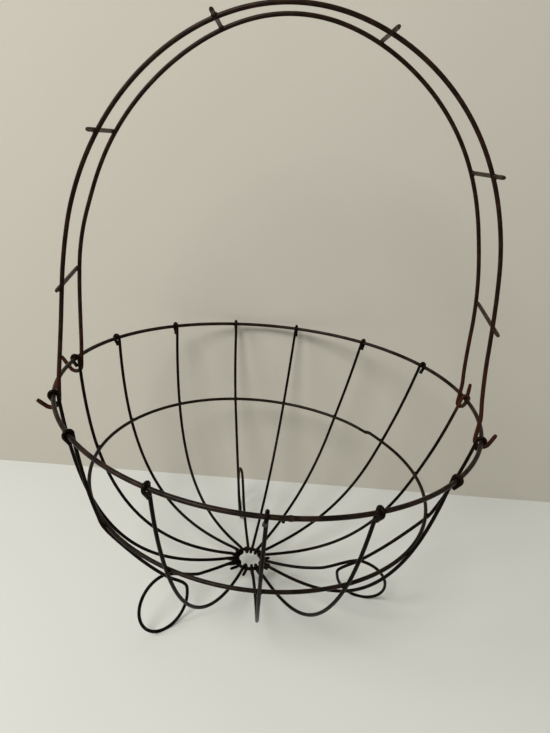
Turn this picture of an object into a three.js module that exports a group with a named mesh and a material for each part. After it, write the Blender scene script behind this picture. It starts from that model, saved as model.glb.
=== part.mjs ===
// A wire gathering basket: a round bowl of fifteen ribs hung from a thick rim, with a tall handle of
// two wires held apart by crossbars. Every rib is one length of wire. Its top end is wrapped once round
// the rim, its bottom end is curled under the hub ring, and every fifth rib makes a loop on the way
// down, which is a foot.
// Millimetres, +Z up. The table is z = 0, the bowl's axis is the Z axis, and the handle stands along X.
import * as THREE from "three";

// The rim is the thickest wire. It was bent by hand, a little out of round, and it rises and falls a
// little.
const rimRadius = 152;
const rimHeight = 183;
const rimWire = 3;
const rimOval = 1.2;
const rimThreeSided = 1.6;
const rimSway = 2.6;
const rimSwayStart = 16.5;

// The bowl: how deep the ribs hang, how steep its wall is and how full its floor, and where the middle
// ring is.
const bowlDepth = 154.5;
const wallBelly = 132;
const wallPull = 112.5;
const floorBelly = 91;
const floorSag = 2.7;
const middleDrop = 71.7;
const middleWire = 2.75;

// The ribs, set out by hand: each stands a few degrees off its even place, turns a few more on its way
// in, and is bowed sideways by a few millimetres in the middle. Some also lean to the side between the
// rim and the middle ring.
const ribCount = 15;
const ribWire = 2.5;
const firstRib = 178;
const ribOffset = [-1.6, -0.5, -1.5, -0.1, 1.7, 0.2, -0.7, -0.4, -1.2, 0.7, -1, -1.6, -2.6, -4.2, -0.5];
const ribTurn = [1.9, -3.4, 3.1, -4.3, 0.1, 2.3, 5.1, 9, 1.4, 6.5, 3.5, 9.7, 7.8, -5, -2.4];
const ribBow = [1.9, 2.6, 2.4, 0, 0.8, 2.7, 2.8, -2.2, 0, 0, 0, 0, 0, 0, 0.3];
const ribLean = [0.9, 0.8, 0.7, 0, 0, 5, 5.6, 5.2, 0, 0, 0, 0, 0, 0, 0];
const tailSide = [1, 1, 1, 1, -1, -1, -1, -1, -1, -1, 1, -1, -1, 1, 1];
const wrapTurn = 320;
const tailLength = 1.6;

// The hub ring, and the ends of the ribs that are curled under it.
const hubWire = 2.75;
const hubCrowding = 1.58;
const stubLength = 5.5;
const stubShift = 1.8;

// The foot loops: which rib, how far out the loop's middle is, half its width and half its height, how
// far its lowest point is pushed outwards and sideways, how far the rib turns on its way there, and how
// far to the side the wire goes into the loop, comes out of it past itself, and goes on along the floor.
const feet = [
  {
    rib: 4, reach: 95, wide: 19.4, high: 25.4,
    outward: 1.1, sideways: -6.7, turn: -3.5, into: 0.8, outOf: -2.2, onward: -1.7,
  },
  {
    rib: 9, reach: 94.3, wide: 19.9, high: 26,
    outward: 3.7, sideways: 21, turn: 6.5, into: 0, outOf: -4.5, onward: 1.1,
  },
  {
    rib: 14, reach: 84, wide: 20.5, high: 22.8,
    outward: 0.6, sideways: 6.8, turn: 0.9, into: 2, outOf: -1.8, onward: 0,
  },
];
const loopStart = -110;
const loopEnd = 190;
const loopStep = 20;
const strandSag = 6;
const soleDepth = 0.35;
const loopClear = 1.6;

// The handle: two arches side by side, turned a little on the bowl and leaning a little to the left.
// Each is half an ellipse on straight legs, and stands off that by a millimetre or so here and there:
// the waves are the shares of the cosine and the sine of two, four and six times the angle.
const handleWire = 2.9;
const archHeight = 248;
const archHalfWidth = 143.1;
const archSpring = 62.8;
const archLean = -2.4;
const handleTurn = 2.2;
const frontSetBack = -20.9;
const backSetBack = 22.8;
const frontWaves = [[0.3, -0.5], [-1.4, 0.2], [-0.4, -0.3]];
const backWaves = [[0.6, -0.6], [-0.6, 0], [-0.7, -0.5]];

// Where each leg stands on the rim, and its hook: how far down it goes, the radius it is bent to, how far
// its end turns up again, and how long that end is. The bow is how far the leg stands out above the rim.
const legs = {
  frontLeft: { azimuth: 199.6, drop: 11.5, bend: 5, turnUp: 40, tip: 7.3, bow: -1 },
  backLeft: { azimuth: 175, drop: 11.6, bend: 5, turnUp: 50, tip: 11.2, bow: 2.8 },
  frontRight: { azimuth: -11, drop: 9.8, bend: 5, turnUp: 68, tip: 8.8, bow: -1.2 },
  backRight: { azimuth: 11.2, drop: 8.8, bend: 3.4, turnUp: 90, tip: 16, bow: 1.5 },
};
const legStraight = 12;
const bowTop = 125;
const legStations = [5, 12, 24, 36, 50];

// The crossbars are cut to one length and welded on the outside of both wires.
const barWire = 2.8;
const barLength = 60;
const barBackEnd = 2.2;
const bars = [
  { back: 177.8, front: 177.9 },
  { back: 146.9, front: 146.3 },
  { back: 112.9, front: 112.7 },
  { back: 71.7, front: 71.9 },
  { back: 34, front: 34.5 },
  { back: 4.6, front: 3.3 },
];

// The clearance that touching wires keep, and the one between two strands of the same wire.
const gap = 0.3;
const strandGap = 0.5;

// How many straight steps the bends and curves are drawn in.
const wrapSteps = 10;
const bowlSteps = 14;
const shankSteps = 6;
const strandSteps = 4;
const floorSteps = 5;
const curlSteps = 6;
const hookSteps = 6;
const archStep = 6;

const ironBlack = { color: 0x2a211e, roughness: 0.55, metalness: 0.7 };
const rimBrown = { color: 0x3b2a25, roughness: 0.6, metalness: 0.65 };
const handleBrown = { color: 0x3a2824, roughness: 0.55, metalness: 0.65 };
const barGrey = { color: 0x54483f, roughness: 0.6, metalness: 0.6 };

const radians = THREE.MathUtils.degToRad;
const centreDistance = (a, b) => (a + b) / 2 + gap;

// A point given by its distance from the bowl's axis, its azimuth in degrees and its height.
function polar(radius, azimuth, height) {
  const x = radius * Math.cos(radians(azimuth));
  return new THREE.Vector3(x, radius * Math.sin(radians(azimuth)), height);
}

// How far the rim's centre line stands out from its round and flat place, at an azimuth in degrees.
function rimAt(azimuth) {
  const around = radians(azimuth);
  const out = rimOval * Math.sin(2 * around) + rimThreeSided * Math.cos(3 * around);
  const up = rimSway * Math.sin(2 * (around + radians(rimSwayStart)));
  return { radius: rimRadius + out, height: rimHeight + up };
}

// One length of round wire. Its sections fall on the points given, so bends get as many as they need.
function bentWire(name, points, diameter, sides, finish) {
  const section = Array.from({ length: sides }, (_, i) => {
    const around = (2 * Math.PI * (i + 0.5)) / sides;
    return new THREE.Vector2(Math.cos(around), Math.sin(around)).multiplyScalar(diameter / 2);
  });
  const path = new THREE.CatmullRomCurve3(points);
  path.getPointAt = (t) => path.getPoint(t);
  path.getTangentAt = (t) => path.getTangent(t);
  const options = { steps: points.length - 1, extrudePath: path, bevelEnabled: false };
  const geometry = new THREE.ExtrudeGeometry(new THREE.Shape(section), options);
  // What would reach under the table is worn off.
  const position = geometry.getAttribute("position");
  for (let i = 0; i < position.count; i += 1) position.setZ(i, Math.max(0, position.getZ(i)));
  const mesh = new THREE.Mesh(geometry, new THREE.MeshStandardMaterial(finish));
  mesh.name = name;
  return mesh;
}

// A closed ring of round wire, whose centre line stands where placeAt says at each azimuth.
function wireRing(name, placeAt, diameter, sides, steps, finish) {
  const geometry = new THREE.TorusGeometry(1000, diameter / 2, sides, steps);
  const position = geometry.getAttribute("position");
  for (let i = 0; i < position.count; i += 1) {
    const azimuth = THREE.MathUtils.radToDeg(Math.atan2(position.getY(i), position.getX(i)));
    const outward = Math.hypot(position.getX(i), position.getY(i)) - 1000;
    const centre = placeAt(azimuth);
    const moved = polar(centre.radius + outward, azimuth, centre.height + position.getZ(i));
    position.setXYZ(i, moved.x, moved.y, moved.z);
  }
  const mesh = new THREE.Mesh(geometry, new THREE.MeshStandardMaterial(finish));
  mesh.name = name;
  return mesh;
}

// The bowl's curve as (radius, drop below the rim): down the wall, round, and in over the hub ring.
const rimWrap = centreDistance(rimWire, ribWire);
const hubWrap = centreDistance(hubWire, ribWire);
const hubRadius = (ribCount * hubCrowding * ribWire) / (2 * Math.PI) + hubWrap;
const hubHeight = rimHeight - bowlDepth - hubWrap;
const bowlCurve = new THREE.CubicBezierCurve(
  new THREE.Vector2(rimRadius - rimWrap, 0),
  new THREE.Vector2(wallBelly, wallPull),
  new THREE.Vector2(floorBelly, bowlDepth + floorSag),
  new THREE.Vector2(hubRadius, bowlDepth),
);

// The stretch of the bowl's curve where the wire has come down by a drop, found by halving.
function bowlAtDrop(drop) {
  let low = 0;
  let high = 0.8;
  for (let i = 0; i < 30; i += 1) {
    const middle = (low + high) / 2;
    if (bowlCurve.getPoint(middle).y < drop) low = middle;
    else high = middle;
  }
  return low;
}

// The same, where the wire has come in to a radius.
function bowlAtRadius(radius) {
  let low = 0;
  let high = 1;
  for (let i = 0; i < 30; i += 1) {
    const middle = (low + high) / 2;
    if (bowlCurve.getPoint(middle).x > radius) low = middle;
    else high = middle;
  }
  return low;
}

const middleAt = bowlAtDrop(middleDrop);

// A foot loop, once round an ellipse that stands on the table: in at the side nearest the hub, down,
// outwards along the table, up, and in over the top, past the strand that came in. Its angles are counted
// from the lowest point, and the two points nearest to that are level, with the wire between them worn
// flat.
function loopPoints(foot) {
  const lowest = foot.high * Math.cos(radians(loopStep / 2));
  const middle = ribWire / 2 - soleDepth + lowest;
  const start = -foot.high * Math.cos(radians(loopStart));
  const end = -foot.high * Math.cos(radians(loopEnd));
  const drift = foot.outOf - foot.into + (foot.sideways * (end - start)) / (2 * foot.high);
  const points = [];
  for (let angle = loopStart; angle <= loopEnd; angle += loopStep) {
    const along = foot.outward * Math.cos(radians(angle)) + foot.wide * Math.sin(radians(angle));
    const up = -foot.high * Math.cos(radians(angle));
    const lean = (foot.sideways * (start - up)) / (2 * foot.high);
    const share = (angle - loopStart) / (loopEnd - loopStart);
    const sideways = foot.into + lean + drift * share;
    points.push({ radius: foot.reach + along, height: middle + up, sideways });
  }
  return points;
}

// A rib runs from its tail, backwards round the rim, down the bowl, through its foot if it has one, and
// under the hub ring. Each of its points is given by radius, height, and distance sideways off its line.
function ribPoints(number) {
  const index = number - 1;
  const azimuth = firstRib - (360 / ribCount) * index + ribOffset[index % ribOffset.length];
  const turn = ribTurn[index % ribTurn.length];
  const side = tailSide[index % tailSide.length];
  const rim = rimAt(azimuth);
  const points = [];

  const place = (radius, height, sideways, turned) => {
    points.push(polar(radius, azimuth + turned + THREE.MathUtils.radToDeg(sideways / radius), height));
  };

  const wrapShift = ribWire + strandGap;
  const lastAngle = radians(180 - wrapTurn);
  const tailRadius = rim.radius + rimWrap * Math.cos(lastAngle) + tailLength * Math.sin(lastAngle);
  const tailHeight = rim.height + rimWrap * Math.sin(lastAngle) - tailLength * Math.cos(lastAngle);
  place(tailRadius, tailHeight, side * wrapShift, 0);
  for (let i = 0; i < wrapSteps; i += 1) {
    const share = 1 - i / wrapSteps;
    const angle = radians(180 - wrapTurn * share);
    const radius = rim.radius + rimWrap * Math.cos(angle);
    place(radius, rim.height + rimWrap * Math.sin(angle), side * wrapShift * share, 0);
  }

  // Along the bowl's curve from one share of it to another, turning evenly between two radii.
  const bow = ribBow[index % ribBow.length];
  const lean = ribLean[index % ribLean.length];
  const follow = (from, to, steps, start, end, sidewaysFrom) => {
    for (let i = 0; i < steps; i += 1) {
      const bowl = bowlCurve.getPoint(from + ((to - from) * i) / steps);
      const rimShare = Math.max(0, 1 - bowl.y / middleDrop);
      const share = Math.max(0, (start.radius - bowl.x) / (start.radius - end.radius));
      const radius = bowl.x + (rim.radius - rimRadius) * rimShare;
      const height = rimHeight - bowl.y + (rim.height - rimHeight) * rimShare;
      const bowed = bow * Math.sin(Math.PI * Math.min(1, share)) + lean * (1 - rimShare) * (1 - share);
      const sideways = sidewaysFrom * (1 - i / steps) + bowed;
      place(radius, height, sideways, start.turn + (end.turn - start.turn) * share);
    }
  };

  const top = { radius: rimRadius - rimWrap, turn: 0 };
  const hub = { radius: hubRadius, turn };
  const foot = feet.find((one) => one.rib === number);
  if (foot) {
    // Straight in from the middle ring, then the loop, then along the bowl's floor to the hub.
    const loop = { radius: foot.reach, turn: foot.turn };
    follow(0, middleAt, shankSteps, top, loop, 0);
    const seat = bowlCurve.getPoint(middleAt);
    const seatTurn = (foot.turn * (top.radius - seat.x)) / (top.radius - loop.radius);
    const loopAt = loopPoints(foot);
    for (let i = 0; i < strandSteps; i += 1) {
      const share = i / strandSteps;
      const radius = THREE.MathUtils.lerp(seat.x, loopAt[0].radius, share);
      const sag = 4 * strandSag * share * (1 - share);
      const height = THREE.MathUtils.lerp(rimHeight - seat.y, loopAt[0].height, share) - sag;
      place(radius, height, foot.into * share, THREE.MathUtils.lerp(seatTurn, foot.turn, share));
    }
    loopAt.forEach((one) => place(one.radius, one.height, one.sideways, foot.turn));
    follow(bowlAtRadius(foot.reach - loopClear * foot.wide), 1, floorSteps, loop, hub, foot.onward);
  } else {
    follow(0, 1, bowlSteps, top, hub, 0);
  }

  for (let i = 0; i <= curlSteps; i += 1) {
    const angle = radians(90 + (180 * i) / curlSteps);
    const radius = hubRadius + hubWrap * Math.cos(angle);
    place(radius, hubHeight + hubWrap * Math.sin(angle), (stubShift * i) / curlSteps, turn);
  }
  place(hubRadius + stubLength, hubHeight - hubWrap, stubShift, turn);
  return points;
}

// The least clear distance between two strands of one wire, on its points.
function leastGap(points, diameter) {
  let least = Infinity;
  points.forEach((a, i) => {
    let run = 0;
    for (let j = i + 1; j < points.length; j += 1) {
      run += points[j].distanceTo(points[j - 1]);
      if (run > 4 * diameter) least = Math.min(least, a.distanceTo(points[j]) - diameter);
    }
  });
  return least;
}

// The handle's centre line at an angle round its arch, or at a height down one of its legs, where front or
// back says which wire, and the legs draw in to their places on the rim.
const legInset = centreDistance(rimWire, handleWire);
const upright = new THREE.Vector3(0, 0, 1);

function legPlace(leg) {
  const rim = rimAt(leg.azimuth);
  return polar(rim.radius - legInset, leg.azimuth, rim.height);
}

function handlePoint(wire, across, up) {
  const leg = across < 0 ? wire.left : wire.right;
  const legTo = legPlace(leg);
  const draw = (1 - Math.max(0, up - legStraight) / (archHeight - legStraight)) ** 3;
  const turned = new THREE.Vector3(across, wire.setBack, 0).applyAxisAngle(upright, radians(handleTurn));
  const legFrom = new THREE.Vector3(Math.sign(across) * archHalfWidth, wire.setBack, 0);
  legFrom.applyAxisAngle(upright, radians(handleTurn));
  const bowShare = THREE.MathUtils.clamp((up - legStraight) / (bowTop - legStraight), 0, 1);
  const bowed = Math.sign(across) * leg.bow * Math.sin(Math.PI * bowShare);
  const x = turned.x + archLean * (1 - draw) + (legTo.x - legFrom.x) * draw ** 2 + bowed;
  const y = turned.y + (legTo.y - legFrom.y) * draw;
  return new THREE.Vector3(x, y, rimHeight + up);
}

function archPoint(wire, angle) {
  const turned = radians(angle);
  const rise = archHeight - archSpring;
  const outward = new THREE.Vector2(Math.cos(turned) / archHalfWidth, Math.sin(turned) / rise).normalize();
  const stand = wire.waves.reduce((sum, [cosine, sine], i) => {
    const wave = 2 * (i + 1) * turned;
    return sum + cosine * (Math.cos(wave) - 1) + sine * Math.sin(wave);
  }, 0);
  const across = archHalfWidth * Math.cos(turned) + stand * outward.x;
  return handlePoint(wire, across, archSpring + rise * Math.sin(turned) + stand * outward.y);
}

// One leg from its hook's tip up to the arch: up out of the hook, straight past the rim, then drawing in.
function legPoints(wire, leg) {
  const foot = legPlace(leg);
  const rim = rimAt(leg.azimuth);
  const out = new THREE.Vector3(foot.x, foot.y, 0).normalize();
  const bendCentre = rim.radius - legInset + leg.bend;
  const bendHeight = rim.height - leg.drop + leg.bend;
  const at = (radius, height) => out.clone().multiplyScalar(radius).setZ(height);
  const turnUp = radians(leg.turnUp);
  const tipRadius = bendCentre + leg.bend * Math.sin(turnUp) + leg.tip * Math.cos(turnUp);
  const tipHeight = bendHeight - leg.bend * Math.cos(turnUp) + leg.tip * Math.sin(turnUp);
  const points = [at(tipRadius, tipHeight)];
  for (let i = 0; i <= hookSteps; i += 1) {
    const angle = turnUp - ((turnUp + Math.PI / 2) * i) / hookSteps;
    points.push(at(bendCentre + leg.bend * Math.sin(angle), bendHeight - leg.bend * Math.cos(angle)));
  }
  const side = leg === wire.left ? -1 : 1;
  legStations.forEach((up) => points.push(handlePoint(wire, side * archHalfWidth, up)));
  return points;
}

function handleWirePoints(wire) {
  const points = legPoints(wire, wire.left);
  for (let angle = 180; angle >= 0; angle -= archStep) points.push(archPoint(wire, angle));
  return points.concat(legPoints(wire, wire.right).reverse());
}

const front = { setBack: frontSetBack, waves: frontWaves, left: legs.frontLeft, right: legs.frontRight };
const back = { setBack: backSetBack, waves: backWaves, left: legs.backLeft, right: legs.backRight };

// A crossbar lies across the outside of both wires and reaches further past the front one.
function crossbarPoints(bar) {
  const onBack = archPoint(back, bar.back);
  const onFront = archPoint(front, bar.front);
  const along = onFront.clone().sub(onBack).normalize();
  const run = archPoint(back, bar.back + 1).sub(archPoint(back, bar.back - 1));
  const seat = run.cross(along).setLength(centreDistance(handleWire, barWire));
  const start = onBack.clone().add(seat).addScaledVector(along, -barBackEnd);
  return [start, start.clone().addScaledVector(along, barLength)];
}

const basket = new THREE.Group();
const wireSides = 8;

basket.add(wireRing("rim_ring", rimAt, rimWire, wireSides, 96, rimBrown));

const middleRadius = bowlCurve.getPoint(middleAt).x - centreDistance(middleWire, ribWire);
const middlePlace = () => ({ radius: middleRadius, height: rimHeight - middleDrop });
basket.add(wireRing("middle_ring", middlePlace, middleWire, wireSides, 72, ironBlack));

const hubPlace = () => ({ radius: hubRadius, height: hubHeight });
basket.add(wireRing("hub_ring", hubPlace, hubWire, wireSides, 30, ironBlack));

let leastRibGap = Infinity;
for (let number = 1; number <= ribCount; number += 1) {
  const points = ribPoints(number);
  leastRibGap = Math.min(leastRibGap, leastGap(points, ribWire));
  const name = "rib_" + String(number).padStart(2, "0");
  basket.add(bentWire(name, points, ribWire, wireSides, ironBlack));
}
console.log("least gap of a rib to itself: " + leastRibGap.toFixed(2) + " mm");

basket.add(bentWire("handle_wire_front", handleWirePoints(front), handleWire, wireSides, handleBrown));
basket.add(bentWire("handle_wire_back", handleWirePoints(back), handleWire, wireSides, handleBrown));
bars.forEach((bar, i) => {
  basket.add(bentWire("crossbar_" + (i + 1), crossbarPoints(bar), barWire, wireSides, barGrey));
});

// The part's origin is under the middle of its box, on the table.
const box = new THREE.Box3().setFromObject(basket, true);
const boxMiddle = box.getCenter(new THREE.Vector3());
basket.position.set(-boxMiddle.x, -boxMiddle.y, -box.min.z);
console.log("moved by: " + basket.position.toArray().map((shift) => shift.toFixed(3)).join(", "));

export default basket;
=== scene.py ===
import math
import random
from collections import namedtuple

import bpy
from mathutils import Matrix, Vector


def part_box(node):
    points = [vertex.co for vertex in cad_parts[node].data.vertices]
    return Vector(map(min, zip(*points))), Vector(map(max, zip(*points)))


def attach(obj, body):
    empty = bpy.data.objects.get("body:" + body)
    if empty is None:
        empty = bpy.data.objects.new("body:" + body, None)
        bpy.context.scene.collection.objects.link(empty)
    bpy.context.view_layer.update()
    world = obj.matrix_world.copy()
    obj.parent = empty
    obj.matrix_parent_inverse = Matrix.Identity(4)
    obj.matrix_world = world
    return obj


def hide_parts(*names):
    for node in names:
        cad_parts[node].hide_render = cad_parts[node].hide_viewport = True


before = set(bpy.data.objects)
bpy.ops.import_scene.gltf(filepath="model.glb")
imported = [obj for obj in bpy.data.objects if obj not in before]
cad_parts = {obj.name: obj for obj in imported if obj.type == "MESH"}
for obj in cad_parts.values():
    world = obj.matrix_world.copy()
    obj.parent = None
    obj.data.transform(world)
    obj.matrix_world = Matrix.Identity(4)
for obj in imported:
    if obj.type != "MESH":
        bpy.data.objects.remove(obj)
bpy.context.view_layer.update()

mm = 0.001

# The rim ring. The thickest wire of the basket, bent round by hand and butt-welded at the front, where
# the weld stands proud and has left a drip below. Blackened steel, rubbed to a mauve brown in blotches,
# and rusty where the handle's legs chafe against it.
hub_low, hub_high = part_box("hub_ring")
bowl_axis = (hub_low + hub_high) / 2
rim_wire = 3 * mm
rim_radius = 152 * mm
rim_height = 183 * mm
rim_oval = 1.2 * mm
rim_three_sided = 1.6 * mm
rim_sway = 2.6 * mm
rim_sway_start = 16.5
rim_weld = 277.1
rim_weld_width = 1.3 * mm
rim_weld_swell = 0.22
rim_points = 480
# Where the legs chafe the rim: at which azimuth, how many degrees round it, and how rusty it is.
leg_chafes = ((194, 6.5, 0.75), (175, 4.5, 0.35), (-11, 4.5, 0.3), (11.2, 4.5, 0.35))


def polar(radius, azimuth, height):
    """A point given by its distance from the bowl's axis, its azimuth in degrees and its height."""
    around = math.radians(azimuth)
    x = bowl_axis.x + radius * math.cos(around)
    return Vector((x, bowl_axis.y + radius * math.sin(around), height))


def rim_at(azimuth):
    """Radius and height of the rim's centre line, which is a little out of round and out of level."""
    around = math.radians(azimuth)
    out = rim_oval * math.sin(2 * around) + rim_three_sided * math.cos(3 * around)
    up = rim_sway * math.sin(2 * (around + math.radians(rim_sway_start)))
    return rim_radius + out, rim_height + up


def hump(distance, width):
    """1 at no distance, falling smoothly to nothing past the width."""
    return math.exp(-((distance / width) ** 2))


def turn_between(a, b):
    """The angle between two azimuths, in degrees."""
    return abs((a - b + 180) % 360 - 180)


def tree_input(tree, name, kind, default=None):
    """Gives a node tree an input, and returns the identifier that a modifier knows it by."""
    socket = tree.interface.new_socket(name, in_out="INPUT", socket_type=kind)
    if default is not None:
        socket.default_value = default
    return socket.identifier


def wire_along_line():
    """Geometry nodes that draw a round wire along a line of points. Its thickness follows the points'
    own attribute, and what would reach under the table is worn flat."""
    tree = bpy.data.node_groups.new("wire along its line", "GeometryNodeTree")
    tree_input(tree, "Line", "NodeSocketGeometry")
    inputs = {
        "diameter": tree_input(tree, "Wire Diameter", "NodeSocketFloat", rim_wire),
        "sides": tree_input(tree, "Sides", "NodeSocketInt", 16),
        "table": tree_input(tree, "Table Height", "NodeSocketFloat", 0.0),
        "finish": tree_input(tree, "Finish", "NodeSocketMaterial"),
    }
    tree.interface.new_socket("Wire", in_out="OUTPUT", socket_type="NodeSocketGeometry")
    add, join = tree.nodes.new, tree.links.new
    entry, leave = add("NodeGroupInput"), add("NodeGroupOutput")

    to_curve = add("GeometryNodeMeshToCurve")
    join(entry.outputs["Line"], to_curve.inputs["Mesh"])
    place = add("GeometryNodeSplineParameter")
    along = add("GeometryNodeStoreNamedAttribute")
    along.data_type, along.domain = "FLOAT", "POINT"
    along.inputs["Name"].default_value = "along"
    join(to_curve.outputs["Curve"], along.inputs["Geometry"])
    join(place.outputs["Length"], along.inputs["Value"])

    half = add("ShaderNodeMath")
    half.operation = "DIVIDE"
    half.inputs[1].default_value = 2
    join(entry.outputs["Wire Diameter"], half.inputs[0])
    section = add("GeometryNodeCurvePrimitiveCircle")
    join(entry.outputs["Sides"], section.inputs["Resolution"])
    join(half.outputs[0], section.inputs["Radius"])
    around = add("GeometryNodeStoreNamedAttribute")
    around.data_type, around.domain = "FLOAT", "POINT"
    around.inputs["Name"].default_value = "around"
    round_it = add("GeometryNodeSplineParameter")
    join(section.outputs["Curve"], around.inputs["Geometry"])
    join(round_it.outputs["Factor"], around.inputs["Value"])

    thickness = add("GeometryNodeInputNamedAttribute")
    thickness.data_type = "FLOAT"
    thickness.inputs["Name"].default_value = "thickness"
    sweep = add("GeometryNodeCurveToMesh")
    sweep.inputs["Fill Caps"].default_value = True
    join(along.outputs["Geometry"], sweep.inputs["Curve"])
    join(around.outputs["Geometry"], sweep.inputs["Profile Curve"])
    join(thickness.outputs["Attribute"], sweep.inputs["Scale"])

    position = add("GeometryNodeInputPosition")
    split = add("ShaderNodeSeparateXYZ")
    lift = add("ShaderNodeMath")
    lift.operation = "MAXIMUM"
    rebuilt = add("ShaderNodeCombineXYZ")
    wear = add("GeometryNodeSetPosition")
    join(position.outputs["Position"], split.inputs["Vector"])
    join(split.outputs["Z"], lift.inputs[0])
    join(entry.outputs["Table Height"], lift.inputs[1])
    join(split.outputs["X"], rebuilt.inputs["X"])
    join(split.outputs["Y"], rebuilt.inputs["Y"])
    join(lift.outputs[0], rebuilt.inputs["Z"])
    join(sweep.outputs["Mesh"], wear.inputs["Geometry"])
    join(rebuilt.outputs["Vector"], wear.inputs["Position"])

    corners = add("GeometryNodeCornersOfFace")
    is_side = add("FunctionNodeCompare")
    is_side.data_type, is_side.operation = "INT", "LESS_EQUAL"
    is_side.inputs[3].default_value = 4
    smooth = add("GeometryNodeSetShadeSmooth")
    join(corners.outputs["Total"], is_side.inputs[2])
    join(wear.outputs["Geometry"], smooth.inputs["Geometry"])
    join(is_side.outputs["Result"], smooth.inputs["Shade Smooth"])
    realize = add("GeometryNodeRealizeInstances")
    finish = add("GeometryNodeSetMaterial")
    join(smooth.outputs["Geometry"], realize.inputs["Geometry"])
    join(realize.outputs["Geometry"], finish.inputs["Geometry"])
    join(entry.outputs["Finish"], finish.inputs["Material"])
    join(finish.outputs["Geometry"], leave.inputs["Wire"])
    return tree, inputs


wire_tree, wire_inputs = wire_along_line()


def made_by_nodes(name, mesh, tree, inputs, sizes):
    """Runs a tree of geometry nodes on a mesh and keeps what it makes as a plain mesh object."""
    piece = bpy.data.objects.new(name, mesh)
    bpy.context.scene.collection.objects.link(piece)
    modifier = piece.modifiers.new("made by nodes", "NODES")
    modifier.node_group = tree
    for key, value in sizes.items():
        modifier[inputs[key]] = value
    bpy.context.view_layer.update()
    evaluated = piece.evaluated_get(bpy.context.evaluated_depsgraph_get())
    plain = bpy.data.meshes.new_from_object(evaluated)
    piece.modifiers.remove(modifier)
    piece.data = plain
    plain.name = name
    return piece


def wire(name, line, diameter, finish, closed=False, thickness=None, rust=None, sides=16):
    """One length of round wire along a line of points, with its thickness and rust at each point."""
    count = len(line)
    joined = [(i, i + 1) for i in range(count - 1)]
    if closed:
        joined.append((count - 1, 0))
    mesh = bpy.data.meshes.new(name)
    mesh.from_pydata(line, joined, [])
    for label, values, otherwise in (("thickness", thickness, 1.0), ("rust", rust, 0.0)):
        attribute = mesh.attributes.new(label, "FLOAT", "POINT")
        attribute.data.foreach_set("value", values or [otherwise] * count)
    sizes = {"diameter": diameter, "sides": sides, "table": 0.0, "finish": finish}
    return made_by_nodes(name, mesh, wire_tree, wire_inputs, sizes)


def colour(red, green, blue):
    """A colour as it looks on a screen, 0 to 255, turned into the shader's linear one."""
    channels = (red / 255, green / 255, blue / 255)
    return (*(c / 12.92 if c <= 0.04045 else ((c + 0.055) / 1.055) ** 2.4 for c in channels), 1.0)


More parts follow.
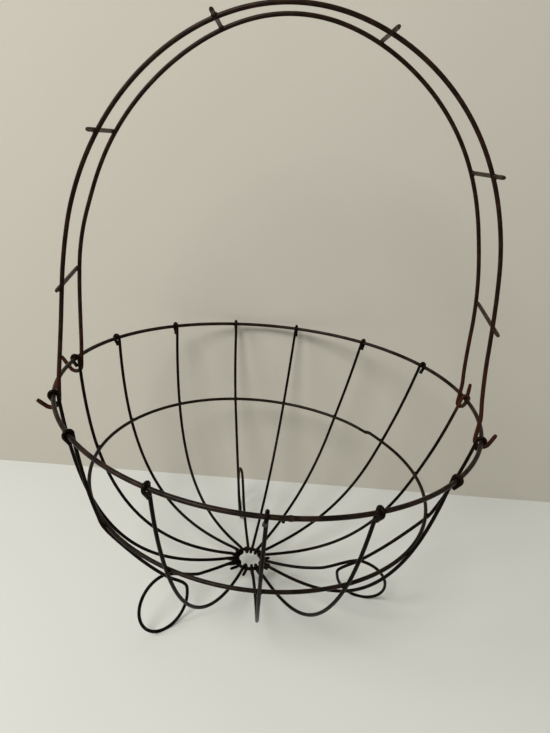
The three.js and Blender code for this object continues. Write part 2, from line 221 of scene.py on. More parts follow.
def patina():
    """The look of old blackened wire: a black skin worn through to brown in blotches, fine lines along
    the wire where it was drawn, rust where its amount says so, and pits."""
    tree = bpy.data.node_groups.new("blackened wire patina", "ShaderNodeTree")
    for name, kind, default in (
        ("Black", "NodeSocketColor", colour(30, 23, 20)),
        ("Brown", "NodeSocketColor", colour(60, 44, 38)),
        ("Rust", "NodeSocketColor", colour(96, 48, 28)),
        ("Rust Amount", "NodeSocketFloat", 0.0),
        ("Along", "NodeSocketFloat", 0.0),
        ("Around", "NodeSocketFloat", 0.0),
        ("Blotch Scale", "NodeSocketFloat", 140.0),
        ("Brown Share", "NodeSocketFloat", 0.5),
        ("Smooth Roughness", "NodeSocketFloat", 0.42),
        ("Rust Roughness", "NodeSocketFloat", 0.85),
    ):
        tree_input(tree, name, kind, default)
    for name, kind in (
        ("Color", "NodeSocketColor"),
        ("Roughness", "NodeSocketFloat"),
        ("Height", "NodeSocketFloat"),
    ):
        tree.interface.new_socket(name, in_out="OUTPUT", socket_type=kind)
    add, join = tree.nodes.new, tree.links.new
    entry, leave = add("NodeGroupInput"), add("NodeGroupOutput")

    def maths(kind, a, b):
        node = add("ShaderNodeMath")
        node.operation = kind
        for socket, value in zip(node.inputs, (a, b)):
            if isinstance(value, (int, float)):
                socket.default_value = value
            else:
                join(value, socket)
        return node.outputs[0]

    def noise(vector, scale, detail, rough=0.5):
        node = add("ShaderNodeTexNoise")
        node.inputs["Detail"].default_value = detail
        node.inputs["Roughness"].default_value = rough
        join(vector, node.inputs["Vector"])
        if isinstance(scale, (int, float)):
            node.inputs["Scale"].default_value = scale
        else:
            join(scale, node.inputs["Scale"])
        return node.outputs["Fac"]

    def weighed(a, a_share, b, b_share):
        return maths("ADD", maths("MULTIPLY", a, a_share), maths("MULTIPLY", b, b_share))

    def patches(value, level, edge):
        """1 where the value passes the level and 0 elsewhere, softened by the edge on both sides."""
        node = add("ShaderNodeMapRange")
        node.interpolation_type = "SMOOTHSTEP"
        join(value, node.inputs["Value"])
        join(maths("SUBTRACT", level, edge), node.inputs["From Min"])
        join(maths("ADD", level, edge), node.inputs["From Max"])
        return node.outputs["Result"]

    def blend(share, a, b):
        node = add("ShaderNodeMix")
        node.data_type = "RGBA"
        join(share, node.inputs[0])
        join(a, node.inputs[6])
        join(b, node.inputs[7])
        return node.outputs[2]

    spot = add("ShaderNodeTexCoord").outputs["Object"]
    blotches = noise(spot, entry.outputs["Blotch Scale"], 5, 0.6)
    specks = noise(spot, 1300, 3, 0.6)
    pits = noise(spot, 2600, 2)

    # The drawn lines: noise that is stretched out along the wire.
    turn = maths("MULTIPLY", entry.outputs["Around"], 2 * math.pi)
    ring = add("ShaderNodeCombineXYZ")
    join(maths("COSINE", turn, 0), ring.inputs["X"])
    join(maths("SINE", turn, 0), ring.inputs["Y"])
    join(maths("MULTIPLY", entry.outputs["Along"], 60), ring.inputs["Z"])
    lines = noise(ring.outputs["Vector"], 4, 3, 0.6)

    # The black skin is worn through to brown in blotches that the drawn lines break up.
    wear_level = maths("SUBTRACT", 1, entry.outputs["Brown Share"])
    worn = patches(weighed(blotches, 0.75, lines, 0.25), wear_level, 0.16)
    skin = blend(worn, entry.outputs["Black"], entry.outputs["Brown"])

    # Rust breaks out in specks where its amount is small, and runs together where it is large.
    rust_level = maths("SUBTRACT", 0.86, maths("MULTIPLY", entry.outputs["Rust Amount"], 0.56))
    rusty = patches(weighed(blotches, 0.55, specks, 0.45), rust_level, 0.07)
    join(blend(rusty, skin, entry.outputs["Rust"]), leave.inputs["Color"])

    # Bare skin is nearly smooth, with lines and pits in it. Rust is rough, and stands up from it.
    smooth = maths("ADD", entry.outputs["Smooth Roughness"], maths("MULTIPLY", specks, 0.12))
    rougher = maths("SUBTRACT", entry.outputs["Rust Roughness"], smooth)
    join(maths("ADD", smooth, maths("MULTIPLY", rougher, rusty)), leave.inputs["Roughness"])
    skin_height = weighed(lines, 0.35, pits, 0.25)
    crust_height = maths("MULTIPLY", maths("ADD", specks, 0.3), rusty)
    join(maths("ADD", skin_height, crust_height), leave.inputs["Height"])
    return tree


patina_tree = patina()


def blackened_steel(name, metallic, specular, relief, **settings):
    """A material of blackened steel wire with the patina's settings for this piece, each given by the
    name of the patina's input."""
    material = bpy.data.materials.new(name)
    material.use_nodes = True
    add, join = material.node_tree.nodes.new, material.node_tree.links.new
    shader = material.node_tree.nodes["Principled BSDF"]
    shader.inputs["Metallic"].default_value = metallic
    shader.inputs["Specular IOR Level"].default_value = specular
    skin = add("ShaderNodeGroup")
    skin.node_tree = patina_tree
    for label, value in settings.items():
        skin.inputs[label.replace("_", " ").title()].default_value = value
    for label, socket in (("rust", "Rust Amount"), ("along", "Along"), ("around", "Around")):
        read = add("ShaderNodeAttribute")
        read.attribute_name = label
        join(read.outputs["Fac"], skin.inputs[socket])
    bump = add("ShaderNodeBump")
    bump.inputs["Strength"].default_value = 0.6
    bump.inputs["Distance"].default_value = relief
    join(skin.outputs["Color"], shader.inputs["Base Color"])
    join(skin.outputs["Roughness"], shader.inputs["Roughness"])
    join(skin.outputs["Height"], bump.inputs["Height"])
    join(bump.outputs["Normal"], shader.inputs["Normal"])
    return material


rim_finish = blackened_steel(
    "rim_blackened_steel", metallic=0.1, specular=0.1, relief=0.12 * mm,
    black=colour(8, 4, 1), brown=colour(45, 30, 22), rust=colour(66, 38, 22),
    blotch_scale=120.0, brown_share=0.47, smooth_roughness=0.28,
)

rim_line, rim_thickness, rim_rust = [], [], []
for i in range(rim_points):
    azimuth = rim_weld + 180 + 360 * i / rim_points
    radius, height = rim_at(azimuth)
    rim_line.append(polar(radius, azimuth, height))
    weld = hump(math.radians(turn_between(azimuth, rim_weld)) * rim_radius, rim_weld_width)
    rim_thickness.append(1 + rim_weld_swell * weld)
    chafed = max(most * hump(turn_between(azimuth, leg), wide) for leg, wide, most in leg_chafes)
    rim_rust.append(min(1, 0.12 + chafed + 0.3 * weld))
rim = wire(
    "rim_wire_ring", rim_line, rim_wire, rim_finish,
    closed=True, thickness=rim_thickness, rust=rim_rust, sides=20,
)
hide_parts("rim_ring")
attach(rim, "basket")


def beads_on_points():
    """Geometry nodes that put a lump of weld on each point, squashed along the point's own direction
    and made uneven by noise."""
    tree = bpy.data.node_groups.new("weld beads on points", "GeometryNodeTree")
    tree_input(tree, "Points", "NodeSocketGeometry")
    inputs = {
        "radius": tree_input(tree, "Bead Radius", "NodeSocketFloat", 1.8 * mm),
        "flat": tree_input(tree, "Flatness", "NodeSocketFloat", 0.6),
        "uneven": tree_input(tree, "Unevenness", "NodeSocketFloat", 0.3 * mm),
        "seed": tree_input(tree, "Seed", "NodeSocketFloat", 3.0),
        "finish": tree_input(tree, "Finish", "NodeSocketMaterial"),
    }
    tree.interface.new_socket("Beads", in_out="OUTPUT", socket_type="NodeSocketGeometry")
    add, join = tree.nodes.new, tree.links.new
    entry, leave = add("NodeGroupInput"), add("NodeGroupOutput")

    lump = add("GeometryNodeMeshIcoSphere")
    lump.inputs["Subdivisions"].default_value = 3
    join(entry.outputs["Bead Radius"], lump.inputs["Radius"])
    facing = add("GeometryNodeInputNamedAttribute")
    facing.data_type = "FLOAT_VECTOR"
    facing.inputs["Name"].default_value = "facing"
    aim = add("FunctionNodeAlignRotationToVector")
    aim.axis = "Z"
    join(facing.outputs["Attribute"], aim.inputs["Vector"])
    size = add("GeometryNodeInputNamedAttribute")
    size.data_type = "FLOAT"
    size.inputs["Name"].default_value = "size"
    flat = add("ShaderNodeMath")
    flat.operation = "MULTIPLY"
    join(size.outputs["Attribute"], flat.inputs[0])
    join(entry.outputs["Flatness"], flat.inputs[1])
    scale = add("ShaderNodeCombineXYZ")
    join(size.outputs["Attribute"], scale.inputs["X"])
    join(size.outputs["Attribute"], scale.inputs["Y"])
    join(flat.outputs[0], scale.inputs["Z"])
    put = add("GeometryNodeInstanceOnPoints")
    join(entry.outputs["Points"], put.inputs["Points"])
    join(lump.outputs["Mesh"], put.inputs["Instance"])
    join(aim.outputs["Rotation"], put.inputs["Rotation"])
    join(scale.outputs["Vector"], put.inputs["Scale"])
    realize = add("GeometryNodeRealizeInstances")
    join(put.outputs["Instances"], realize.inputs["Geometry"])

    rough = add("ShaderNodeTexNoise")
    rough.noise_dimensions = "4D"
    rough.inputs["Scale"].default_value = 420
    rough.inputs["Detail"].default_value = 2
    join(entry.outputs["Seed"], rough.inputs["W"])
    centred = add("ShaderNodeMath")
    centred.operation = "SUBTRACT"
    centred.inputs[1].default_value = 0.5
    amount = add("ShaderNodeMath")
    amount.operation = "MULTIPLY"
    join(rough.outputs["Fac"], centred.inputs[0])
    join(centred.outputs[0], amount.inputs[0])
    join(entry.outputs["Unevenness"], amount.inputs[1])
    out = add("ShaderNodeVectorMath")
    out.operation = "SCALE"
    join(add("GeometryNodeInputNormal").outputs["Normal"], out.inputs[0])
    join(amount.outputs[0], out.inputs["Scale"])
    push = add("GeometryNodeSetPosition")
    join(realize.outputs["Geometry"], push.inputs["Geometry"])
    join(out.outputs["Vector"], push.inputs["Offset"])
    smooth = add("GeometryNodeSetShadeSmooth")
    join(push.outputs["Geometry"], smooth.inputs["Geometry"])
    finish = add("GeometryNodeSetMaterial")
    join(smooth.outputs["Geometry"], finish.inputs["Geometry"])
    join(entry.outputs["Finish"], finish.inputs["Material"])
    join(finish.outputs["Geometry"], leave.inputs["Beads"])
    return tree, inputs


bead_tree, bead_inputs = beads_on_points()
bead_sizes = (0.9, 1.15)


def weld_beads(name, spots, radius, flatness, finish):
    """Beads of weld, each given by its place, the direction in which it is flat, and its size."""
    mesh = bpy.data.meshes.new(name)
    mesh.from_pydata([place for place, _, _ in spots], [], [])
    facing = mesh.attributes.new("facing", "FLOAT_VECTOR", "POINT")
    facing.data.foreach_set("vector", [value for _, way, _ in spots for value in way])
    size = mesh.attributes.new("size", "FLOAT", "POINT")
    size.data.foreach_set("value", [big for _, _, big in spots])
    rust = mesh.attributes.new("rust", "FLOAT", "POINT")
    rust.data.foreach_set("value", [0.3] * len(spots))
    sizes = {"radius": radius, "flat": flatness, "uneven": radius * 0.5, "finish": finish}
    return made_by_nodes(name, mesh, bead_tree, bead_inputs, sizes)


# The drip hangs beside the weld, and a lump of the weld stands out at its upper edge.
drip_azimuth = 275.7
drip_hang = 2.2 * mm
lump_azimuth = rim_weld + 0.3
lump_out = 0.9 * mm
drip_radius, drip_height = rim_at(drip_azimuth)
drips = [
    (polar(drip_radius, drip_azimuth, drip_height - drip_hang), Vector((1, 0, 0)), 1.15),
    (polar(drip_radius + lump_out, lump_azimuth, drip_height + lump_out), Vector((0, 0, 1)), 1.2),
]
rim_bead = weld_beads("rim_weld_drips", drips, radius=0.95 * mm, flatness=0.9, finish=rim_finish)
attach(rim_bead, "basket")

# The hub ring. A small ring of wire under the middle of the bottom, which every rib's end is curled
# round. It is as black as the ribs, and a little rusty, as nothing rubs it there.
rib_wire = 2.5 * mm
hub_wire = 2.75 * mm
rib_count = 15
hub_crowding = 1.58
bowl_depth = 154.5 * mm
hub_points = 96
# The solids of touching wires are held this far apart, and the hub ring and the legs keep that place.
cad_gap = 0.3 * mm
cad_hub_wrap = (hub_wire + rib_wire) / 2 + cad_gap
hub_radius = rib_count * hub_crowding * rib_wire / (2 * math.pi) + cad_hub_wrap
hub_height = rim_height - bowl_depth - cad_hub_wrap

rib_finish = blackened_steel(
    "rib_blackened_steel", metallic=0.08, specular=0.04, relief=0.1 * mm,
    black=colour(6, 3, 1), brown=colour(24, 16, 9), rust=colour(56, 32, 22),
    blotch_scale=170.0, brown_share=0.45, smooth_roughness=0.26,
)

hub_line = [polar(hub_radius, 360 * i / hub_points, hub_height) for i in range(hub_points)]
hub = wire("hub_wire_ring", hub_line, hub_wire, rib_finish, closed=True, rust=[0.2] * hub_points)
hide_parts("hub_ring")
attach(hub, "basket")

# The ribs. Fifteen lengths of thinner wire, nearly black with a soft sheen. Each is bent over the rim
# from inside, with its end pinched back against it, and runs down the bowl's wall and in over the hub
# ring, with its other end curled back under it. Every fifth one makes a loop on the way, which is a foot.
first_rib = 178
# How each rib was set by hand: the degrees off its even place, the degrees that it turns on its way in,
# and in millimetres how far it is bowed aside, how far it leans, and how far its tail lies beside it.
rib_offset = [-1.6, -0.5, -1.5, -0.1, 1.7, 0.2, -0.7, -0.4, -1.2, 0.7, -1, -1.6, -2.6, -4.2, -0.5]
rib_turn = [1.9, -3.4, 3.1, -4.3, 0.1, 2.3, 5.1, 9, 1.4, 6.5, 3.5, 9.7, 7.8, -5, -2.4]
rib_bow = [1.9, 2.6, 2.4, 0, 0.8, 2.7, 2.8, -2.2, 0, 0, 0, 0, 0, 0, 0.3]
rib_lean = [0.9, 0.8, 0.7, 0, 0, 5, 5.6, 5.2, 0, 0, 0, 0, 0, 0, 0]
tail_aside = [-0.2, -0.4, 0.1, -0.5, -1.1, -1, -0.9, -0.6, 0.3, -0.5, -0.6, -0.8, 1.4, 0.6, 0.2]
wrap_turn = 217
tail_length = 6.8 * mm
stub_length = 5.5 * mm
stub_shift = 1.8 * mm
pinch_swell = 0.14
pinch_points = 26
snipped_share = 0.8
rim_wrap = (rim_wire + rib_wire) / 2
hub_wrap = (hub_wire + rib_wire) / 2
middle_drop = 71.7 * mm
strand_sag = 6 * mm
sole_depth = 0.35 * mm
# How steeply the bowl's wall leans outwards just below the rim.
wall_slope = 0.153
# The corners that the bowl's curve is bent by, as distance from the axis and drop below the rim.
bowl_corners = [
    Vector((rim_radius - rim_wrap, 0)),
    Vector((132 * mm, 112.5 * mm)),
    Vector((91 * mm, bowl_depth + 2.7 * mm)),
    Vector((hub_radius, bowl_depth)),
]
# Where a loop starts and ends, in degrees from its lowest point, and how far inwards of its middle, in
# half widths, the wire is back on the bowl's curve.
loop_start, loop_end, loop_step = -110, 190, 20
loop_clear = 1.6
# For each foot: the rib's turn at its loop in degrees, how far out the loop's middle is, half its width
# and height, how far its lowest point goes outwards and sideways, and how far to the side the wire goes
# into the loop, comes out of it past itself, and goes on to the hub.
Foot = namedtuple("Foot", "turn reach wide high outward sideways into out_of onward")
feet = {
    4: Foot(
        turn=-3.5, reach=95 * mm, wide=19.4 * mm, high=25.4 * mm, outward=1.1 * mm,
        sideways=-6.7 * mm, into=0.8 * mm, out_of=-2.2 * mm, onward=-1.7 * mm,
    ),
    9: Foot(
        turn=6.5, reach=94.3 * mm, wide=19.9 * mm, high=26 * mm, outward=3.7 * mm,
        sideways=21 * mm, into=0, out_of=-4.5 * mm, onward=1.1 * mm,
    ),
    14: Foot(
        turn=0.9, reach=84 * mm, wide=20.5 * mm, high=22.8 * mm, outward=0.6 * mm,
        sideways=6.8 * mm, into=2 * mm, out_of=-1.8 * mm, onward=0,
    ),
}


def bowl_at(share):
    """The bowl's curve, as distance from the axis and drop below the rim."""
    near = 1 - share
    a, b, c, d = bowl_corners
    return a * near**3 + b * 3 * near**2 * share + c * 3 * near * share**2 + d * share**3


def share_where(passed, high):
    """The share of the bowl's curve up to where a test is passed, found by halving."""
    low = 0.0
    for _ in range(30):
        middle = (low + high) / 2
        if passed(bowl_at(middle)):
            high = middle
        else:
            low = middle
    return low


def bend_through(points, finer=4):
    """A smooth line through the points, a centripetal Catmull-Rom spline, with this many steps between
    each two of them."""
    ends = [points[0] * 2 - points[1], *points, points[-1] * 2 - points[-2]]
    line = []
    for before, start, end, after in zip(ends, ends[1:], ends[2:], ends[3:]):
        a, b, c = ((q - p).length ** 0.5 for p, q in ((before, start), (start, end), (end, after)))
        leaving = ((start - before) / a - (end - before) / (a + b) + (end - start) / b) * b
        arriving = ((end - start) / b - (after - start) / (b + c) + (after - end) / c) * b
        for step in range(finer):
            t = step / finer
            from_start = start * (2 * t**3 - 3 * t**2 + 1) + leaving * (t**3 - 2 * t**2 + t)
            line.append(from_start + end * (3 * t**2 - 2 * t**3) + arriving * (t**3 - t**2))
    line.append(points[-1])
    return line


middle_at = share_where(lambda spot: spot.y >= middle_drop, 0.8)


def loop_points(foot):
    """A foot's loop as (radius, height, sideways): in at the side nearest the hub, down, outwards along
    the table, up, and in over the top, past the strand that came in. The two lowest points are level."""
    lowest = foot.high * math.cos(math.radians(loop_step / 2))
    middle = rib_wire / 2 - sole_depth + lowest
    start = -foot.high * math.cos(math.radians(loop_start))
    end = -foot.high * math.cos(math.radians(loop_end))
    drift = foot.out_of - foot.into + foot.sideways * (end - start) / (2 * foot.high)
    points = []
    for angle in range(loop_start, loop_end + 1, loop_step):
        turned = math.radians(angle)
        up = -foot.high * math.cos(turned)
        share = (angle - loop_start) / (loop_end - loop_start)
        lean = foot.sideways * (start - up) / (2 * foot.high)
        out = foot.outward * math.cos(turned) + foot.wide * math.sin(turned)
        points.append((foot.reach + out, middle + up, foot.into + lean + drift * share))
    return points


def rib_points(number, wrapped, tail, stub, shift):
    """The points that a rib goes through, from its tail on the rim to its stub under the hub ring."""
    index = number - 1
    azimuth = first_rib - 360 / rib_count * index + rib_offset[index]
    turn = rib_turn[index]
    aside = tail_aside[index] * mm
    bow, lean = rib_bow[index] * mm, rib_lean[index] * mm
    rim_out, rim_up = rim_at(azimuth)
    points = []

    def place(radius, height, sideways=0, turned=0):
        points.append(polar(radius, azimuth + turned + math.degrees(sideways / radius), height))

    def follow(start_share, end_share, steps, start, end, sideways):
        for i in range(steps):
            spot = bowl_at(start_share + (end_share - start_share) * i / steps)
            near_rim = max(0, 1 - spot.y / middle_drop)
            share = max(0, (start[0] - spot.x) / (start[0] - end[0]))
            radius = spot.x + (rim_out - rim_radius) * near_rim
            height = rim_height - spot.y + (rim_up - rim_height) * near_rim
            bowed = bow * math.sin(math.pi * min(1, share)) + lean * (1 - near_rim) * (1 - share)
            off_line = sideways * (1 - i / steps) + bowed
            place(radius, height, off_line, start[1] + (end[1] - start[1]) * share)

    # The tail comes up beside the shank, and no nearer to it than a wire's thickness.
    last = math.radians(180 - wrapped)
    for down in (1, 0.8, 0.6, 0.4, 0.2):
        radius = rim_wrap * math.cos(last) + down * tail * math.sin(last)
        height = rim_wrap * math.sin(last) - down * tail * math.cos(last)
        shank = wall_slope * height - rim_wrap
        pinched = max(radius, shank + math.sqrt(max(0, rib_wire**2 - aside**2)))
        place(rim_out + pinched, rim_up + height, aside * (0.5 + 0.5 * down))
    wrap_steps = 14
    for i in range(wrap_steps):
        left = 1 - i / wrap_steps
        angle = math.radians(180 - wrapped * left)
        radius = rim_out + rim_wrap * math.cos(angle)
        place(radius, rim_up + rim_wrap * math.sin(angle), aside * 0.5 * left)

    top = (rim_radius - rim_wrap, 0)
    hub_end = (hub_radius, turn)
    foot = feet.get(number)
    if foot:
        loop = (foot.reach, foot.turn)
        follow(0, middle_at, 6, top, loop, 0)
        seat = bowl_at(middle_at)
        seat_turn = foot.turn * (top[0] - seat.x) / (top[0] - foot.reach)
        loop_at = loop_points(foot)
        strand_steps = 4
        for i in range(strand_steps):
            share = i / strand_steps
            radius = seat.x + (loop_at[0][0] - seat.x) * share
            sag = 4 * strand_sag * share * (1 - share)
            height = rim_height - seat.y + (loop_at[0][1] - rim_height + seat.y) * share - sag
            place(radius, height, foot.into * share, seat_turn + (foot.turn - seat_turn) * share)
        for radius, height, sideways in loop_at:
            place(radius, height, sideways, foot.turn)
        after_loop = share_where(lambda spot: spot.x <= foot.reach - loop_clear * foot.wide, 1.0)
        follow(after_loop, 1, 5, loop, hub_end, foot.onward)
    else:
        follow(0, 1, 14, top, hub_end, 0)

    curl_steps = 9
    for i in range(curl_steps + 1):
        angle = math.radians(90 + 180 * i / curl_steps)
        radius = hub_radius + hub_wrap * math.cos(angle)
        place(radius, hub_height + hub_wrap * math.sin(angle), shift * i / curl_steps, turn)
    place(hub_radius + stub, hub_height - hub_wrap, shift, turn)
    return points


def snipped(count, pinched=0):
    """The thickness along a wire whose ends were snipped off. The first points may be flattened wider,
    where pliers pinched the end."""
    thickness = [1.0] * count
    for i in range(pinched):
        thickness[i] += pinch_swell * (1 - i / pinched) ** 0.5
    thickness[0] *= snipped_share
    thickness[-1] *= snipped_share
    return thickness


def passing(line, height):
    """Where a rib's line comes down past a height."""
    for above, below in zip(line, line[1:]):
        if above.z >= height > below.z:
            return above.lerp(below, (above.z - height) / (above.z - below.z))
    return line[-1]


# Two ribs are rustier than the rest: round which height, how far from it, and how much.
rustier = {4: (50 * mm, 13 * mm, 0.5), 8: (rim_height, 65 * mm, 0.5)}
hand = random.Random(15)
crossings = []
for number in range(1, rib_count + 1):
    wrapped = wrap_turn + hand.uniform(-3, 2)
    tail = tail_length * hand.uniform(0.86, 1.06)
    stub = stub_length * hand.uniform(0.85, 1.2)
    shift = stub_shift * hand.uniform(0.3, 1.3)
    line = bend_through(rib_points(number, wrapped, tail, stub, shift))
    crossings.append(passing(line, rim_height - middle_drop))
    rust = []
    for spot in line:
        near_rim = hump(spot.z - rim_height, 9 * mm)
        near_hub = hump(spot.z - hub_height, 7 * mm)
        rust.append(0.1 + 0.25 * near_rim + 0.2 * near_hub)
    if number in rustier:
        height, reach, more = rustier[number]
        rust = [r + more * hump(spot.z - height, reach) for r, spot in zip(rust, line)]
    thickness = snipped(len(line), pinch_points)
    rib = wire(
        f"rib_wire_{number:02d}", line, rib_wire, rib_finish, thickness=thickness, rust=rust, sides=14
    )
    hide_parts(f"rib_{number:02d}")
    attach(rib, "basket")

# The middle ring. A wire ring inside the ribs, two fifths of the way down to the table, spot-welded to
# each rib where they cross. Its own ends are joined at the back right, not quite in line.
middle_wire = 2.75 * mm
middle_points = 360
weld_sink = 0.25 * mm
joint_azimuth = 44
joint_step = 0.75 * mm
joint_step_length = 2 / 3 * mm
joint_step_reach = 14 * mm
joint_swell = 0.2
joint_swell_reach = 2.2 * mm
seat = bowl_at(middle_at)
middle_radius = seat.x - (middle_wire + rib_wire) / 2 + weld_sink
middle_height = rim_height - middle_drop

middle_line, middle_thickness = [], []
for i in range(middle_points):
    turned = 360 * i / middle_points
    past_joint = math.radians((turned + 180) % 360 - 180) * middle_radius
    step_share = math.tanh(past_joint / joint_step_length) * hump(past_joint, joint_step_reach)
    height = middle_height - joint_step * step_share
    middle_line.append(polar(middle_radius, joint_azimuth + turned, height))
    middle_thickness.append(1 + joint_swell * hump(past_joint, joint_swell_reach))
middle_finish = blackened_steel(
    "middle_ring_steel", metallic=0.1, specular=0.08, relief=0.1 * mm,
    black=colour(8, 5, 2), brown=colour(32, 23, 13), rust=colour(56, 33, 19),
    blotch_scale=130.0, brown_share=0.5, smooth_roughness=0.28,
)
middle = wire(
    "middle_wire_ring", middle_line, middle_wire, middle_finish,
    closed=True, thickness=middle_thickness, rust=[0.12] * middle_points,
)
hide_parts("middle_ring")
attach(middle, "basket")

spots = []
for crossing in crossings:
    outward = Vector((crossing.x - bowl_axis.x, crossing.y - bowl_axis.y, 0))
    on_ring = bowl_axis + outward.normalized() * middle_radius
    on_ring.z = crossing.z
    spots.append(((on_ring + crossing) / 2, outward.normalized(), hand.uniform(*bead_sizes)))
middle_welds = weld_beads(
    "middle_ring_welds", spots, radius=1.75 * mm, flatness=0.75, finish=rib_finish
)
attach(middle_welds, "basket")

# The handle's two wires. Each is one length bent into a tall arch, with straight legs that stand inside
# the rim and open hooks that turn out under it, so the handle is held by its own spring. Blackened steel,
# rusted red-brown down the legs.
handle_wire = 2.9 * mm
arch_height = 247.95 * mm
arch_half_width = 143.1 * mm
arch_spring = 62.8 * mm
arch_step = 6
arch_lean = -2.4 * mm
handle_turn = 2.2
leg_straight = 12 * mm
bow_top = 125 * mm
leg_stations = (5 * mm, 12 * mm, 24 * mm, 36 * mm, 50 * mm)
leg_inset = (rim_wire + handle_wire) / 2 + cad_gap
# For each leg: its azimuth, how far the hook goes down, its bend's radius, how far its tip turns up again
# in degrees, the tip's length, and how far the leg bows out above the rim.
Leg = namedtuple("Leg", "azimuth drop bend turn_up tip bow")
front_left = Leg(199.6, drop=11.5 * mm, bend=5 * mm, turn_up=40, tip=7.3 * mm, bow=-1 * mm)
back_left = Leg(175, drop=11.6 * mm, bend=5 * mm, turn_up=50, tip=11.2 * mm, bow=2.8 * mm)
front_right = Leg(-11, drop=9.8 * mm, bend=5 * mm, turn_up=68, tip=8.8 * mm, bow=-1.2 * mm)
back_right = Leg(11.2, drop=8.8 * mm, bend=3.4 * mm, turn_up=90, tip=16 * mm, bow=1.5 * mm)
# For each wire: its distance from the handle's middle, how it stands off the plain ellipse, as millimetres
# of the cosine and sine of two, four and six times the angle, and its two legs.
Arch = namedtuple("Arch", "set_back waves left right")
front_wire = Arch(-20.9 * mm, [(0.3, -0.5), (-1.4, 0.2), (-0.4, -0.3)], front_left, front_right)
back_wire = Arch(22.8 * mm, [(0.6, -0.6), (-0.6, 0), (-0.7, -0.5)], back_left, back_right)


def leg_place(leg):
    """Where a leg stands inside the rim, as seen from the bowl's axis."""
    radius, height = rim_at(leg.azimuth)
    return polar(radius - leg_inset, leg.azimuth, height) - Vector((bowl_axis.x, bowl_axis.y, 0))


def handle_point(which, across, up):
    """A point of the handle, by its distance across the arch and its height above the rim. The arch is
    drawn over to where its legs stand, the more so the lower down."""
    leg = which.left if across < 0 else which.right
    at_rim = leg_place(leg)
    draw = (1 - max(0, up - leg_straight) / (arch_height - leg_straight)) ** 3
    about = Matrix.Rotation(math.radians(handle_turn), 3, "Z")
    turned = about @ Vector((across, which.set_back, 0))
    arch_end = about @ Vector((math.copysign(arch_half_width, across), which.set_back, 0))
    bow_share = min(1, max(0, (up - leg_straight) / (bow_top - leg_straight)))
    bowed = math.copysign(1, across) * leg.bow * math.sin(math.pi * bow_share)
    x = turned.x + arch_lean * (1 - draw) + (at_rim.x - arch_end.x) * draw**2 + bowed
    y = turned.y + (at_rim.y - arch_end.y) * draw
    return Vector((bowl_axis.x + x, bowl_axis.y + y, rim_height + up))


def arch_point(which, angle):
    """A point of the arch, by the angle round it in degrees from the right end."""
    turned = math.radians(angle)
    rise = arch_height - arch_spring
    outward = Vector((math.cos(turned) / arch_half_width, math.sin(turned) / rise)).normalized()
    stand = 0
    for order, (cosine, sine) in enumerate(which.waves, 1):
        wave = 2 * order * turned
        stand += (cosine * (math.cos(wave) - 1) + sine * math.sin(wave)) * mm
    across = arch_half_width * math.cos(turned) + stand * outward.x
    return handle_point(which, across, arch_spring + rise * math.sin(turned) + stand * outward.y)


def leg_points(which, side):
    """One leg from its hook's tip up to the arch."""
    leg = which.left if side < 0 else which.right
    turn_up = math.radians(leg.turn_up)
    rim_out, rim_up = rim_at(leg.azimuth)
    bend_radius = rim_out - leg_inset + leg.bend
    bend_height = rim_up - leg.drop + leg.bend
    tip_radius = bend_radius + leg.bend * math.sin(turn_up) + leg.tip * math.cos(turn_up)
    tip_height = bend_height - leg.bend * math.cos(turn_up) + leg.tip * math.sin(turn_up)
    points = [polar(tip_radius, leg.azimuth, tip_height)]
    bend_steps = 8
    for i in range(bend_steps + 1):
        angle = turn_up - (turn_up + math.pi / 2) * i / bend_steps
        radius = bend_radius + leg.bend * math.sin(angle)
        points.append(polar(radius, leg.azimuth, bend_height - leg.bend * math.cos(angle)))
    for station in leg_stations:
        points.append(handle_point(which, side * arch_half_width, station))
    return points


handle_finish = blackened_steel(
    "handle_blackened_steel", metallic=0.1, specular=0.1, relief=0.12 * mm,
    black=colour(15, 6, 1), brown=colour(42, 24, 10), rust=colour(48, 22, 12),
    blotch_scale=150.0, brown_share=0.45, smooth_roughness=0.28,
)


def handle_rust(line):
    """Rust all along, most of it on the legs at the rim, and more on the right than on the left."""
    rust = []
    for spot in line:
        more_on_right = 0.12 if spot.x > 0 else 0.0
        rust.append(0.15 + 0.6 * hump(spot.z - rim_height, 55 * mm) + more_on_right)
    return rust


for name, node, which in (
    ("handle_front_wire", "handle_wire_front", front_wire),
    ("handle_back_wire", "handle_wire_back", back_wire),
):
    points = leg_points(which, -1)
    points += [arch_point(which, angle) for angle in range(180, -1, -arch_step)]
    points += reversed(leg_points(which, 1))
    line = bend_through(points)
    piece = wire(
        name, line, handle_wire, handle_finish,
        thickness=snipped(len(line)), rust=handle_rust(line), sides=18,
    )
    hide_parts(node)
    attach(piece, "handle")

# The crossbars. Six short straight wires, cut to one length, laid across the outside of both handle
# wires and spot-welded to them, each reaching further past the front one. Grey-brown, rubbed by hands.
bar_wire = 2.8 * mm
bar_length = 60 * mm
bar_back_end = 2.2 * mm
bar_seat = 1.9 * mm
bar_steps = 24
# Where each bar lies, from the left: the angle round the back wire's arch and round the front one's.
bar_angles = [
    (177.8, 177.9), (146.9, 146.3), (112.9, 112.7), (71.7, 71.9), (34, 34.5), (4.6, 3.3),
]

bar_finish = blackened_steel(
    "crossbar_steel", metallic=0.15, specular=0.15, relief=0.12 * mm,
    black=colour(15, 9, 4), brown=colour(52, 37, 25), rust=colour(70, 37, 22),
    blotch_scale=160.0, brown_share=0.5, smooth_roughness=0.36,
)

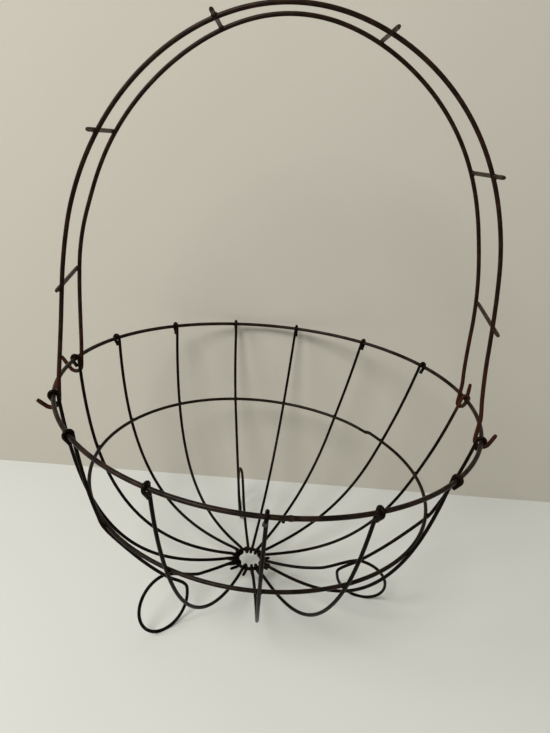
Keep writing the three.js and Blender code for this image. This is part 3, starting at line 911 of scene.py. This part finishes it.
spots = []
for number, (back_angle, front_angle) in enumerate(bar_angles, 1):
    on_back = arch_point(back_wire, back_angle)
    on_front = arch_point(front_wire, front_angle)
    along = (on_front - on_back).normalized()
    run = arch_point(back_wire, back_angle + 1) - arch_point(back_wire, back_angle - 1)
    outward = run.cross(along).normalized()
    start = on_back + outward * bar_seat - along * bar_back_end
    line = [start + along * bar_length * i / bar_steps for i in range(bar_steps + 1)]
    bar = wire(
        f"crossbar_wire_{number}", line, bar_wire, bar_finish,
        thickness=snipped(len(line)), rust=[0.15] * len(line), sides=18,
    )
    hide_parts(f"crossbar_{number}")
    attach(bar, "handle")
    for spot in (on_back, on_front):
        spots.append((spot + outward * bar_seat / 2, outward, hand.uniform(*bead_sizes)))
bar_welds = weld_beads(
    "crossbar_welds", spots, radius=1.95 * mm, flatness=0.75, finish=handle_finish
)
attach(bar_welds, "handle")

# The table and the wall close behind the basket, plain and pale. The wall stands a little askew, and
# throws no shadow. Both are seen only from their front, so the views from behind and below look through.
wall_distance = 160 * mm
wall_slant = 0.088
stage_reach = 3
stage_mottle = 6


def stage_plane(name, corners, shade):
    """A flat plane of the stage, faintly mottled, which can't be seen from its back."""
    mesh = bpy.data.meshes.new(name)
    mesh.from_pydata([Vector(corner) for corner in corners], [], [(0, 1, 2, 3)])
    plane = bpy.data.objects.new(name, mesh)
    bpy.context.scene.collection.objects.link(plane)
    material = bpy.data.materials.new(name)
    material.use_nodes = True
    nodes, join = material.node_tree.nodes, material.node_tree.links.new
    shader = nodes["Principled BSDF"]
    shader.inputs["Roughness"].default_value = 0.9
    shader.inputs["Specular IOR Level"].default_value = 0.1
    tint = nodes.new("ShaderNodeTexNoise")
    tint.inputs["Scale"].default_value = 3
    tint.inputs["Detail"].default_value = 2
    spot = nodes.new("ShaderNodeTexCoord")
    mix = nodes.new("ShaderNodeMix")
    mix.data_type = "RGBA"
    mix.inputs[6].default_value = colour(*shade)
    mix.inputs[7].default_value = colour(*(c - stage_mottle for c in shade))
    join(spot.outputs["Object"], tint.inputs["Vector"])
    join(tint.outputs["Fac"], mix.inputs[0])
    join(mix.outputs[2], shader.inputs["Base Color"])
    back = nodes.new("ShaderNodeNewGeometry")
    clear = nodes.new("ShaderNodeBsdfTransparent")
    choose = nodes.new("ShaderNodeMixShader")
    join(back.outputs["Backfacing"], choose.inputs[0])
    join(shader.outputs["BSDF"], choose.inputs[1])
    join(clear.outputs["BSDF"], choose.inputs[2])
    join(choose.outputs["Shader"], nodes["Material Output"].inputs["Surface"])
    mesh.materials.append(material)
    return plane


stage_plane(
    "table_top",
    [
        (-stage_reach, -stage_reach, 0), (stage_reach, -stage_reach, 0),
        (stage_reach, stage_reach, 0), (-stage_reach, stage_reach, 0),
    ],
    (212, 213, 208),
)
wall_left = wall_distance - wall_slant * stage_reach
wall_right = wall_distance + wall_slant * stage_reach
back_wall = stage_plane(
    "back_wall",
    [
        (-stage_reach, wall_left, 0), (stage_reach, wall_right, 0),
        (stage_reach, wall_right, stage_reach), (-stage_reach, wall_left, stage_reach),
    ],
    (190, 186, 174),
)
back_wall.visible_shadow = False

# Soft light from two large lamps, high up in front on the left. The air adds a faint even light, and
# past the stage the camera and the gloss see a plain pale backdrop.
lamp_size = 0.75
lamp_tint = (1.0, 0.988, 0.967)
lamp_aim = Vector((0, 0, 150 * mm))


def lamp(name, place, power):
    """A large soft lamp that shines at the middle of the basket."""
    light = bpy.data.lights.new(name, "AREA")
    light.shape = "DISK"
    light.size = lamp_size
    light.energy = power
    light.color = lamp_tint
    obj = bpy.data.objects.new(name, light)
    obj.location = place
    aim = lamp_aim - obj.location
    obj.rotation_euler = aim.to_track_quat("-Z", "Y").to_euler()
    bpy.context.scene.collection.objects.link(obj)


lamp("key_lamp", (-0.7, -1.4, 1.7), 33)
lamp("side_lamp", (-1.6, -0.9, 1.4), 20)

world = bpy.data.worlds.new("studio_air")
bpy.context.scene.world = world
world.use_nodes = True
nodes, join = world.node_tree.nodes, world.node_tree.links.new
air = nodes["Background"]
air.inputs["Color"].default_value = (0.86, 0.86, 0.85, 1)
air.inputs["Strength"].default_value = 0.26
backdrop = nodes.new("ShaderNodeBackground")
backdrop.inputs["Color"].default_value = colour(200, 198, 190)
path = nodes.new("ShaderNodeLightPath")
seen = nodes.new("ShaderNodeMath")
seen.operation = "MAXIMUM"
seen_in_gloss = nodes.new("ShaderNodeMath")
seen_in_gloss.operation = "MAXIMUM"
shown = nodes.new("ShaderNodeMixShader")
join(path.outputs["Is Glossy Ray"], seen_in_gloss.inputs[0])
join(path.outputs["Is Transmission Ray"], seen_in_gloss.inputs[1])
join(path.outputs["Is Camera Ray"], seen.inputs[0])
join(seen_in_gloss.outputs[0], seen.inputs[1])
join(seen.outputs[0], shown.inputs[0])
join(air.outputs["Background"], shown.inputs[1])
join(backdrop.outputs["Background"], shown.inputs[2])
join(shown.outputs["Shader"], nodes["World Output"].inputs["Surface"])

# The camera, where the photograph was taken from: in front of the basket, somewhat lower than the top of
# its handle, looking down into the bowl.
focal_pixels = 610.384
picture_width = 550
camera_back = 412.811 * mm
camera_height = 373.665 * mm
right = Vector((0.99197709, 0.04685581, 0.11741378))
up = Vector((-0.12640612, 0.38026589, 0.91619831))
forward = Vector((0.00171925, 0.92368955, -0.38313791))
camera_data = bpy.data.cameras.new("camera")
camera_data.sensor_fit = "HORIZONTAL"
camera_data.sensor_width = 36
camera_data.lens = camera_data.sensor_width * focal_pixels / picture_width
camera = bpy.data.objects.new("camera", camera_data)
bpy.context.scene.collection.objects.link(camera)
turn = Matrix((right, up, -forward)).transposed().to_4x4()
spot = Vector((bowl_axis.x, bowl_axis.y - camera_back, camera_height))
camera.matrix_world = Matrix.Translation(spot) @ turn
bpy.context.scene.camera = camera
bpy.context.scene.view_settings.view_transform = "Standard"
